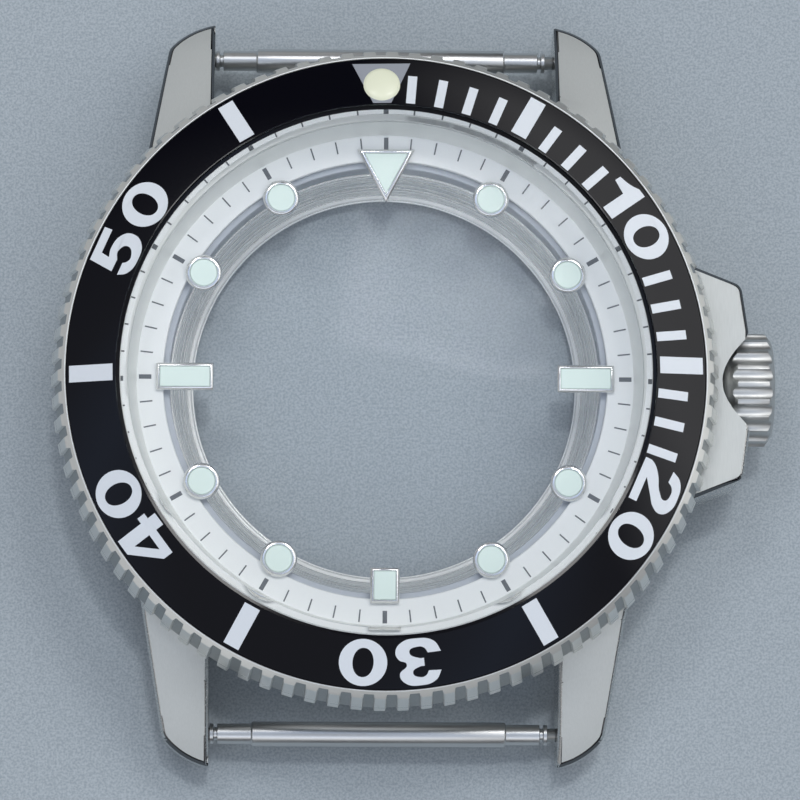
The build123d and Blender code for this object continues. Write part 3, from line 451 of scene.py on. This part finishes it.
def glass(name, color):
    """Clear glass that lets the lamps through, so that what lies below it is lit."""
    material, tree, shader = new_material(name)
    shader.inputs["Base Color"].default_value = (*color, 1)
    shader.inputs["Metallic"].default_value = 0.0
    shader.inputs["Transmission Weight"].default_value = 1.0
    shader.inputs["IOR"].default_value = glass_ior
    smears = add_node(tree, "ShaderNodeTexNoise", Scale=900.0, Detail=2.0)
    haze = add_node(tree, "ShaderNodeMapRange")
    haze.inputs["To Min"].default_value = 0.0
    haze.inputs["To Max"].default_value = most_haze
    tree.links.new(object_position(tree), smears.inputs["Vector"])
    tree.links.new(smears.outputs["Fac"], haze.inputs["Value"])
    tree.links.new(haze.outputs["Result"], shader.inputs["Roughness"])
    clear = add_node(tree, "ShaderNodeBsdfTransparent")
    rays = add_node(tree, "ShaderNodeLightPath")
    surface = shader.outputs[0]
    for ray in ("Is Shadow Ray", "Is Diffuse Ray", "Is Glossy Ray"):
        mix = add_node(tree, "ShaderNodeMixShader")
        tree.links.new(rays.outputs[ray], mix.inputs[0])
        tree.links.new(surface, mix.inputs[1])
        tree.links.new(clear.outputs[0], mix.inputs[2])
        surface = mix.outputs[0]
    tree.links.new(surface, tree.nodes["Material Output"].inputs["Surface"])
    return material


crystal_glass = glass("crystal_glass", (0.98, 1.0, 0.99))
back_glass = glass("back_glass", (0.98, 1.0, 0.99))
print("finishes and glasses:", len(bpy.data.materials))

# %% [markdown]
# ## Copies with soft edges
#
# No machined edge is perfectly sharp: each carries a tiny chamfer that catches the light. Most
# metal pieces already have the right form in the CAD model, so each is copied, its loose
# triangles are merged into whole faces, and its edges are broken with a bevel of a few
# hundredths of a millimetre.

# %% Helpers for pieces
crease = 32  # degrees between two faces from which their edge counts as an edge
merge_gap = 0.0005  # mm
flat_within = 0.4  # degrees


def add_piece(name, shape, materials, body, slot, *stands_for, smooth_below=crease):
    """Turns a bmesh in millimetres into a finished piece that rides on a body."""
    bmesh.ops.scale(shape, vec=(MM, MM, MM), verts=shape.verts)
    mesh = bpy.data.meshes.new(name)
    shape.to_mesh(mesh)
    shape.free()
    mesh.shade_smooth()
    mesh.set_sharp_from_angle(angle=radians(smooth_below))
    for material in materials:
        mesh.materials.append(material)
    piece = bpy.data.objects.new(name, mesh)
    scene.collection.objects.link(piece)
    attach(piece, body)
    if stands_for:
        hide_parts(*stands_for)
    print(name, "has", len(mesh.polygons), "faces")
    return piece


def bevel(shape, edges, width, segments=1):
    """Cuts the given edges back by a width."""
    bmesh.ops.bevel(
        shape,
        geom=edges,
        offset=width,
        offset_type="OFFSET",
        affect="EDGES",
        segments=segments,
        profile=0.5,
        material=-1,
        clamp_overlap=True,
    )


def break_edges(shape, width, above=crease):
    """Bevels every edge whose faces meet at more than the given angle."""
    edges = [
        edge
        for edge in shape.edges
        if len(edge.link_faces) == 2 and edge.calc_face_angle(0) > radians(above)
    ]
    bevel(shape, edges, width)


def cad_copy(node):
    """A bmesh in millimetres of a CAD node, with its triangles merged into whole faces."""
    shape = bmesh.new()
    shape.from_mesh(nodes[node].data)
    bmesh.ops.scale(shape, vec=(1 / MM, 1 / MM, 1 / MM), verts=shape.verts)
    bmesh.ops.remove_doubles(shape, verts=shape.verts, dist=merge_gap)
    bmesh.ops.dissolve_limit(
        shape, angle_limit=radians(flat_within), verts=shape.verts, edges=shape.edges
    )
    return shape


def turned(outline, columns=240):
    """Spins a closed half section (radius, height) round the case axis into a solid ring."""
    shape = bmesh.new()
    points = [shape.verts.new((radius, 0, height)) for radius, height in outline]
    edges = [shape.edges.new(pair) for pair in zip(points, points[1:] + points[:1])]
    bmesh.ops.spin(
        shape,
        geom=points + edges,
        cent=(0, 0, 0),
        axis=(0, 0, 1),
        dvec=(0, 0, 0),
        angle=2 * pi,
        steps=columns,
        use_merge=True,
        use_duplicate=False,
    )
    bmesh.ops.remove_doubles(shape, verts=shape.verts, dist=merge_gap)
    bmesh.ops.recalc_face_normals(shape, faces=shape.faces)
    return shape


# %% [markdown]
# ## Mid case
#
# The lugs and guards are satin on top, with polished bevels along their edges, the tall flanks
# are a little smoother, and the wall round the minute ring is silvered. The bevels get a painted
# dark reflection, except the sideways ones on the six o'clock half. One copy of the CAD solid
# carries all of these: each face picks its finish by the way it faces and by how far out it
# reaches. Only the upper edges of the lugs and guards get the wider rounded bevel.

# %% Mid case
upright = 0.3  # a face whose normal rises less than this is a wall
level_top = 0.88
bevel_top = 0.885
shoulder_reach = 19.7
shoulder_width = 0.13
neck_reach = 15.6
body_reach = 17
case_steels = [satin_steel, side_steel, painted_dark_reflection, rehaut_silver]

case_shape = cad_copy("mid_case")
shoulders = [
    edge
    for edge in case_shape.edges
    if len(edge.link_faces) == 2
    and min(face.normal.z for face in edge.link_faces) > upright
    and max(face.normal.z for face in edge.link_faces) > level_top
    and edge.calc_face_angle(0) > radians(crease)
    and hypot(*edge.verts[0].co.xy) > shoulder_reach
]
bevel(case_shape, shoulders, shoulder_width, segments=2)
for face in case_shape.faces:
    reach = max(hypot(*vertex.co.xy) for vertex in face.verts)
    if reach < neck_reach:
        face.material_index = case_steels.index(rehaut_silver)
    elif abs(face.normal.z) < upright:
        face.material_index = case_steels.index(side_steel)
    # sloping bevels get the painted dark reflection; sideways bevels on the six o'clock half stay
    # brighter steel
    elif face.normal.z < bevel_top and reach > body_reach:
        low_flank = face.calc_center_median().y < 0 and abs(face.normal.x) > 0.5
        face.material_index = case_steels.index(side_steel if low_flank else painted_dark_reflection)
break_edges(case_shape, 0.04)
add_piece(
    "case_body", case_shape, case_steels, "case", "case_steel", "mid_case", smooth_below=20
)

# %% [markdown]
# ## Bezel ring
#
# The bezel is turned to a steep cone, then a coin edge is cut down that cone: ninety flat-topped
# teeth. It is made in that order here too. A half section is spun with twelve columns to each
# tooth; then the columns are moved to where a tooth's corners are, and those between the teeth
# are drawn inwards. Where a groove runs out through the sloping rim, its end climbs that slope.
# The floors of the grooves get painted shade, a darker steel, as little light reaches them.

# %% Bezel ring
bezel_turn = radians(1.12)
tooth_count = 90
tooth_depth = 0.22
columns_in_tooth = 12
column_places = (0, 0.12, 0.225, 0.24, 0.28, 0.3, 0.5)
column_cuts = (0, 0, 0, 0.12, 0.88, 1, 1)
wall_radius = 19.3
slope_level = 4.78
rim_slope = 0.72
groove_top = 5

bezel_outline = [
    (16.85, 2.2),
    (19.8, 2.2),
    (19.99, 2.55),
    (20.0, 2.62),
    (19.97, 2.9),
    (19.52, 4.80),
    (19.48, 4.87),
    (19.12, 5.13),
    (19.09, 5.15),
    (19.05, 5.15),
    (19.02, 5.12),
    (19.02, 4.4),
    (16.85, 4.4),
]
column_total = tooth_count * columns_in_tooth
bezel_shape = turned(bezel_outline, columns=column_total)
half_tooth = columns_in_tooth // 2
groove_shade_verts = set()
for vertex in bezel_shape.verts:
    radius = hypot(vertex.co.x, vertex.co.y)
    column = round(atan2(vertex.co.y, vertex.co.x) * column_total / (2 * pi))
    offset = (column + half_tooth) % columns_in_tooth - half_tooth
    tooth = (column - offset) / columns_in_tooth
    place = column_places[abs(offset)]
    angle = bezel_turn + (tooth + (place if offset > 0 else -place)) * 2 * pi / tooth_count
    if radius > wall_radius:
        cut = tooth_depth * column_cuts[abs(offset)]
        radius -= cut
        # vertices on a groove floor, which gets the painted shade
        if cut > 0.5 * tooth_depth and vertex.co.z < groove_top:
            groove_shade_verts.add(vertex)
        if vertex.co.z > slope_level:
            vertex.co.z += cut * rim_slope
    vertex.co.x, vertex.co.y = radius * cos(angle), radius * sin(angle)
# faces wholly on a groove floor take the painted shade
for face in bezel_shape.faces:
    if groove_shade_verts.issuperset(face.verts):
        face.material_index = 1
add_piece(
    "bezel_coin_ring",
    bezel_shape,
    [bezel_steel, groove_painted_shade],
    "bezel",
    "bezel_steel",
    "bezel_ring",
    smooth_below=12,
)

# %% [markdown]
# ## Bezel insert
#
# A glossy black ring that rises towards the crystal. Its edges are softened in the section,
# because the thin light line along the inner edge is one of the first things the eye finds.
# A narrow lip below that edge closes the gap round the crystal: painted shade, as the gap looks
# black.

# %% Insert
insert_outer, insert_inner = 19.0, 16.0
insert_low, insert_high = 5.1, 5.9
insert_slope = (insert_high - insert_low) / (insert_outer - insert_inner)
insert_floor = 4.4
# a black lip under the insert's inner edge, painted shade for the dark gap round the crystal
shade_lip_radius = 15.81


def insert_height(radius):
    """The height of the insert's sloping face at a radius."""
    return insert_low + (insert_outer - radius) * insert_slope


insert_outline = [
    (insert_inner, insert_floor),
    (insert_outer, insert_floor),
    (insert_outer, 5.06),
    (18.96, insert_height(18.96)),
    (16.1, insert_height(16.1)),
    (16.03, insert_height(16.06)),
    (insert_inner, 5.78),
    (insert_inner, 5.5),
    (shade_lip_radius, 5.46),
    (shade_lip_radius, 5.36),
    (insert_inner, 5.32),
]
insert_shape = turned(insert_outline, columns=360)
add_piece(
    "bezel_insert_ring", insert_shape, [insert_gloss], "bezel", "insert_black", "bezel_insert"
)

# %% [markdown]
# ## Printing
#
# Numerals and strokes are thin sheets. Each is drawn flat, as a 2D curve whose corners stay
# sharp and whose bowls are smooth, then filled and given a thickness. The finished sheet is
# carried to its angle and laid on the cone point by point. Drawing the numerals, instead of
# using a font, keeps their wide heavy strokes and needs no font file.

# %% Drawing helpers
units_per_mm = 100
degrees_per_minute = 6
S, C = False, True  # a smooth point of a contour, and a corner


def drawn(contours, thickness=0.03):
    """A bmesh in millimetres of filled contours; each point says if it is a corner."""
    curve = bpy.data.curves.new("drawing", "CURVE")
    curve.dimensions = "2D"
    curve.fill_mode = "BOTH"
    curve.extrude = thickness / 2
    curve.resolution_u = 10
    for contour in contours:
        spline = curve.splines.new("BEZIER")
        spline.bezier_points.add(len(contour) - 1)
        spline.use_cyclic_u = True
        for point, (x, y, corner) in zip(spline.bezier_points, contour):
            point.co = (x / units_per_mm, y / units_per_mm, 0)
            kind = "VECTOR" if corner else "AUTO"
            point.handle_left_type = kind
            point.handle_right_type = kind
    sketch = bpy.data.objects.new("drawing", curve)
    scene.collection.objects.link(sketch)
    bpy.context.view_layer.update()
    flat = bpy.data.meshes.new_from_object(
        sketch.evaluated_get(bpy.context.evaluated_depsgraph_get())
    )
    shape = bmesh.new()
    shape.from_mesh(flat)
    bmesh.ops.remove_doubles(shape, verts=shape.verts, dist=merge_gap)
    bmesh.ops.recalc_face_normals(shape, faces=shape.faces)
    bpy.data.objects.remove(sketch)
    bpy.data.curves.remove(curve)
    bpy.data.meshes.remove(flat)
    return shape


def lay(target, shape, minute, radius, height, turn=0.0):
    """Moves a flat drawing to a minute of the dial, top outwards, and adds it to a target."""
    angle = radians(degrees_per_minute * minute) - turn
    outward = Vector((sin(angle), cos(angle), 0))
    along = Vector((cos(angle), -sin(angle), 0))
    for vertex in shape.verts:
        thickness = vertex.co.z
        place = outward * (radius + vertex.co.y) + along * vertex.co.x
        place.z = height(place.length) + thickness
        vertex.co = place
    part = bpy.data.meshes.new("part")
    shape.to_mesh(part)
    shape.free()
    target.from_mesh(part)
    bpy.data.meshes.remove(part)


def stroke(width, length):
    """The contour of a straight stroke centred on its place."""
    x, y = units_per_mm / 2 * width, units_per_mm / 2 * length
    return [[(-x, -y, C), (x, -y, C), (x, y, C), (-x, y, C)]]


# %% Numerals
numerals = {
    "0": [
        [(0, -135, S), (142, 0, S), (0, 135, S), (-142, 0, S)],
        [(0, -84, S), (62, 0, S), (0, 84, S), (-62, 0, S)],
    ],
    "1": [
        [
            (-12, -128, C),
            (76, -128, C),
            (76, 125, C),
            (22, 125, C),
            (-30, 98, S),
            (-107, 78, C),
            (-107, 40, C),
            (-12, 26, C),
        ]
    ],
    "2": [
        [
            (-136, -135, C),
            (128, -135, C),
            (128, -84, C),
            (-30, -84, C),
            (52, -28, S),
            (118, 22, S),
            (136, 72, S),
            (104, 116, S),
            (10, 136, S),
            (-92, 108, S),
            (-128, 50, C),
            (-58, 46, C),
            (-36, 76, S),
            (4, 88, S),
            (52, 66, S),
            (22, 24, S),
            (-72, -28, S),
            (-120, -68, S),
            (-136, -96, C),
        ]
    ],
    "3": [
        [
            (-126, 58, C),
            (-90, 112, S),
            (0, 135, S),
            (96, 112, S),
            (120, 62, S),
            (74, 8, S),
            (118, -22, S),
            (134, -66, S),
            (100, -116, S),
            (0, -135, S),
            (-96, -112, S),
            (-134, -50, C),
            (-56, -48, C),
            (-36, -78, S),
            (0, -87, S),
            (52, -62, S),
            (0, -22, S),
            (-30, -20, C),
            (-30, 26, C),
            (0, 28, S),
            (42, 60, S),
            (0, 88, S),
            (-34, 80, S),
            (-52, 54, C),
        ]
    ],
    "4": [
        [
            (22, -135, C),
            (106, -135, C),
            (106, -84, C),
            (142, -84, C),
            (142, -34, C),
            (106, -34, C),
            (106, 135, C),
            (10, 135, C),
            (-142, -22, C),
            (-142, -84, C),
            (22, -84, C),
        ],
        [(22, -34, C), (22, 74, C), (-82, -34, C)],
    ],
    "5": [
        [
            (-104, 135, C),
            (112, 135, C),
            (112, 86, C),
            (-40, 86, C),
            (-50, 34, C),
            (6, 46, S),
            (104, 16, S),
            (132, -42, S),
            (100, -110, S),
            (0, -135, S),
            (-100, -108, S),
            (-132, -56, C),
            (-54, -56, C),
            (-36, -80, S),
            (2, -88, S),
            (52, -44, S),
            (4, -2, S),
            (-46, -18, C),
            (-124, -16, C),
        ]
    ],
}
numeral_radius = 17.47
# degrees by which a numeral's two digits stand to either side of its minute
digit_offsets = {
    10: (-5.8, 3.4),
    20: (-5.3, 5.5),
    30: (-5.3, 5.5),
    40: (-5.3, 5.5),
    50: (-5.3, 5.5),
}
printing_lift = 0.02
numeral_shape = bmesh.new()


def on_insert(radius):
    """The height at which printing sits on the insert."""
    return insert_height(radius) + printing_lift


for minute, offsets in digit_offsets.items():
    for digit, offset in zip(str(minute), offsets):
        lay(
            numeral_shape,
            drawn(numerals[digit]),
            minute + offset / degrees_per_minute,
            numeral_radius,
            on_insert,
            bezel_turn,
        )
add_piece("bezel_numerals", numeral_shape, [scale_white], "bezel", "insert_black")

# %% Strokes and the zero mark
long_place, short_place = 17.5, 17.03
long_stroke, short_stroke = stroke(1.0, 2.6), stroke(0.55, 1.8)
stroke_shape = bmesh.new()
for minute in (5, 15, 25, 35, 45, 55):
    lay(stroke_shape, drawn(long_stroke), minute, long_place, on_insert, bezel_turn)
for minute in (1, 2, 3, 4, 6, 7, 8, 12, 13, 14, 16, 17, 18):
    lay(stroke_shape, drawn(short_stroke), minute, short_place, on_insert, bezel_turn)
add_piece("bezel_minute_marks", stroke_shape, [scale_white], "bezel", "insert_black")

zero_shape = bmesh.new()
zero_contour = [[(-175, 118, C), (-54, -140, C), (54, -140, C), (175, 118, C)]]
lay(zero_shape, drawn(zero_contour), 0, long_place, on_insert, bezel_turn)
add_piece("bezel_zero_mark", zero_shape, [zero_silver], "bezel", "insert_black")

# %% [markdown]
# ## Pearl
#
# The pearl is a plug of luminous paste with a low clear dome. Only its dome stands proud of the
# insert, so a shallow cap is enough: a disc is spun from an arc and leaned like the cone.

# %% Pearl
pearl_radius = 1.1
pearl_place = 17.3
pearl_level = insert_height(pearl_place)
pearl_foot = -0.3
pearl_shape = turned(
    [
        (0, pearl_foot),
        (pearl_radius, pearl_foot),
        (pearl_radius, 0.02),
        (1.0, 0.1),
        (0.9, 0.13),
        (0.78, 0.155),
        (0.55, 0.195),
        (0.28, 0.215),
        (0, 0.22),
    ],
    columns=48,
)
bmesh.ops.rotate(
    pearl_shape,
    cent=(0, 0, 0),
    matrix=Matrix.Rotation(-atan2(insert_slope, 1), 3, "X"),
    verts=pearl_shape.verts,
)
bmesh.ops.translate(
    pearl_shape,
    vec=(-sin(bezel_turn) * pearl_place, cos(bezel_turn) * pearl_place, pearl_level),
    verts=pearl_shape.verts,
)
add_piece("bezel_pearl_dome", pearl_shape, [pearl_paste], "bezel", "lume", "bezel_pearl")

# %% [markdown]
# ## Crystal and window
#
# Both are plain polished discs. The crystal's chamfer matters: it bends light from the ring
# below into a bright line with small copies of the minute ticks.

# %% Crystal and back window
crystal_shape = turned(
    [(0, 3.5), (15.7, 3.5), (15.75, 3.55), (15.75, 5.65), (15.4, 6.0), (0, 6.0)], columns=360
)
add_piece(
    "crystal_disc", crystal_shape, [crystal_glass], "case", "crystal_glass", "crystal"
)
window_shape = turned(
    [(0, -6.47), (12.2, -6.47), (12.3, -6.37), (12.3, -5.42), (12.25, -5.37), (0, -5.37)],
    columns=240,
)
add_piece("back_window", window_shape, [back_glass], "back", "back_glass", "back_glass")

# %% [markdown]
# ## Minute ring and its track
#
# The ring is a flat silvered plate. Its printed track has a long stroke at each hour and a
# hairline at every minute between.

# %% Minute ring
ring_shape = cad_copy("minute_ring")
break_edges(ring_shape, 0.05)
add_piece("minute_ring_plate", ring_shape, [ring_silver], "case", "ring_silver", "minute_ring")


ring_top = 0.5
track_lift = 0.006
track_radius = 14.4
hour_width, minute_width = 0.27, 0.085
tick_length = 0.75
tick_thickness = 0.01


def on_ring(radius):
    """The height at which printing sits on the minute ring, the same at every radius."""
    return ring_top + track_lift


track_shape = bmesh.new()
for minute in range(60):
    width = hour_width if minute % 5 == 0 else minute_width
    tick = drawn(stroke(width, tick_length), tick_thickness)
    lay(track_shape, tick, minute, track_radius, on_ring)
add_piece("minute_track", track_shape, [track_grey], "case", "ring_silver")

# %% [markdown]
# ## Markers
#
# Each marker is a polished cup filled with luminous paste. Cups and paste keep their CAD forms;
# the edges of the cups are broken, which draws the fine bright outline round each marker.

# %% Markers
for node, slot, material, width in (
    ("round_markers", "marker_metal", marker_metal, 0.03),
    ("bar_markers", "marker_metal", marker_metal, 0.03),
    ("six_marker", "marker_metal", marker_metal, 0.03),
    ("triangle_marker", "marker_metal", marker_metal, 0.03),
    ("round_lume", "lume", lume_paste, 0.04),
    ("bar_lume", "lume", lume_paste, 0.04),
    ("six_lume", "lume", lume_paste, 0.04),
    ("triangle_lume", "lume", lume_paste, 0.04),
):
    marker_shape = cad_copy(node)
    break_edges(marker_shape, width)
    add_piece(node + "_cut", marker_shape, [material], "case", slot, node)

# %% [markdown]
# ## Holder, back, crown and bars
#
# These are copies too. The back's funnel shows rings from the lathe, the crown is a little
# duller, and the bars are bright drawn steel.

# %% Remaining metal pieces
bodies_of = {
    node: body
    for body, members in frame["record"]["behaviour"]["bodies"].items()
    for node in members
}
for node, slot, material, width in (
    ("movement_holder", "holder_metal", holder_steel, 0.05),
    ("case_back", "back_steel", turned_steel, 0.05),
    ("crown", "crown_steel", crown_steel, 0.05),
    ("top_bar_barrel", "bar_steel", drawn_steel, 0.03),
    ("bottom_bar_barrel", "bar_steel", drawn_steel, 0.03),
    ("top_bar_left_tip", "bar_steel", drawn_steel, 0.03),
    ("top_bar_right_tip", "bar_steel", drawn_steel, 0.03),
    ("bottom_bar_left_tip", "bar_steel", drawn_steel, 0.03),
    ("bottom_bar_right_tip", "bar_steel", drawn_steel, 0.03),
):
    metal_shape = cad_copy(node)
    break_edges(metal_shape, width)
    add_piece(node + "_cut", metal_shape, [material], bodies_of[node], slot, node)

# %% [markdown]
# ## Springs inside the bars
#
# One spring in each bar pushes both tips outwards. Pressing a tip shortens only its own half of
# the spring, so each half is a piece of its own. The coils are hidden in the barrel, and a sleeve
# of their size stands for them.

# %% Springs inside the bars
bar_middle = Vector((-0.25, 20.9, -3.2))
spring_half = 5.1
sleeve_inner, sleeve_outer = 0.34, 0.54
for end, side in (("top", 1), ("bottom", -1)):
    for hand, way in (("left", -1), ("right", 1)):
        middle = Vector((bar_middle.x, side * bar_middle.y, bar_middle.z))
        sleeve = [
            (sleeve_inner, 0),
            (sleeve_outer, 0),
            (sleeve_outer, spring_half),
            (sleeve_inner, spring_half),
        ]
        half_shape = turned(sleeve, columns=32)
        bmesh.ops.rotate(
            half_shape,
            cent=(0, 0, 0),
            matrix=Matrix.Rotation(way * pi / 2, 3, "Y"),
            verts=half_shape.verts,
        )
        bmesh.ops.translate(half_shape, vec=middle, verts=half_shape.verts)
        half = add_piece(
            f"{end}_bar_{hand}_spring_half",
            half_shape,
            [spring_steel],
            f"{end}_bar",
            "spring_steel",
            f"{end}_bar_spring",
        )
        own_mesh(half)

# %% Hidden pieces keep their CAD meshes and get their finishes
for node, material in (
    ("crystal_gasket", seal_nylon),
    ("back_glass_gasket", seal_nylon),
    ("back_gasket", seal_rubber),
    ("crown_gasket", seal_rubber),
    ("crown_tube", side_steel),
    ("crown_washer", side_steel),
    ("crown_core", side_steel),
    ("crown_spring", spring_steel),
    ("bezel_wire", spring_steel),
    ("click_spring", spring_steel),
):
    mesh = nodes[node].data
    mesh.materials.clear()
    mesh.materials.append(material)
print("hidden pieces dressed")

# %% Colours as written, and the end
scene.view_settings.view_transform = "Standard"
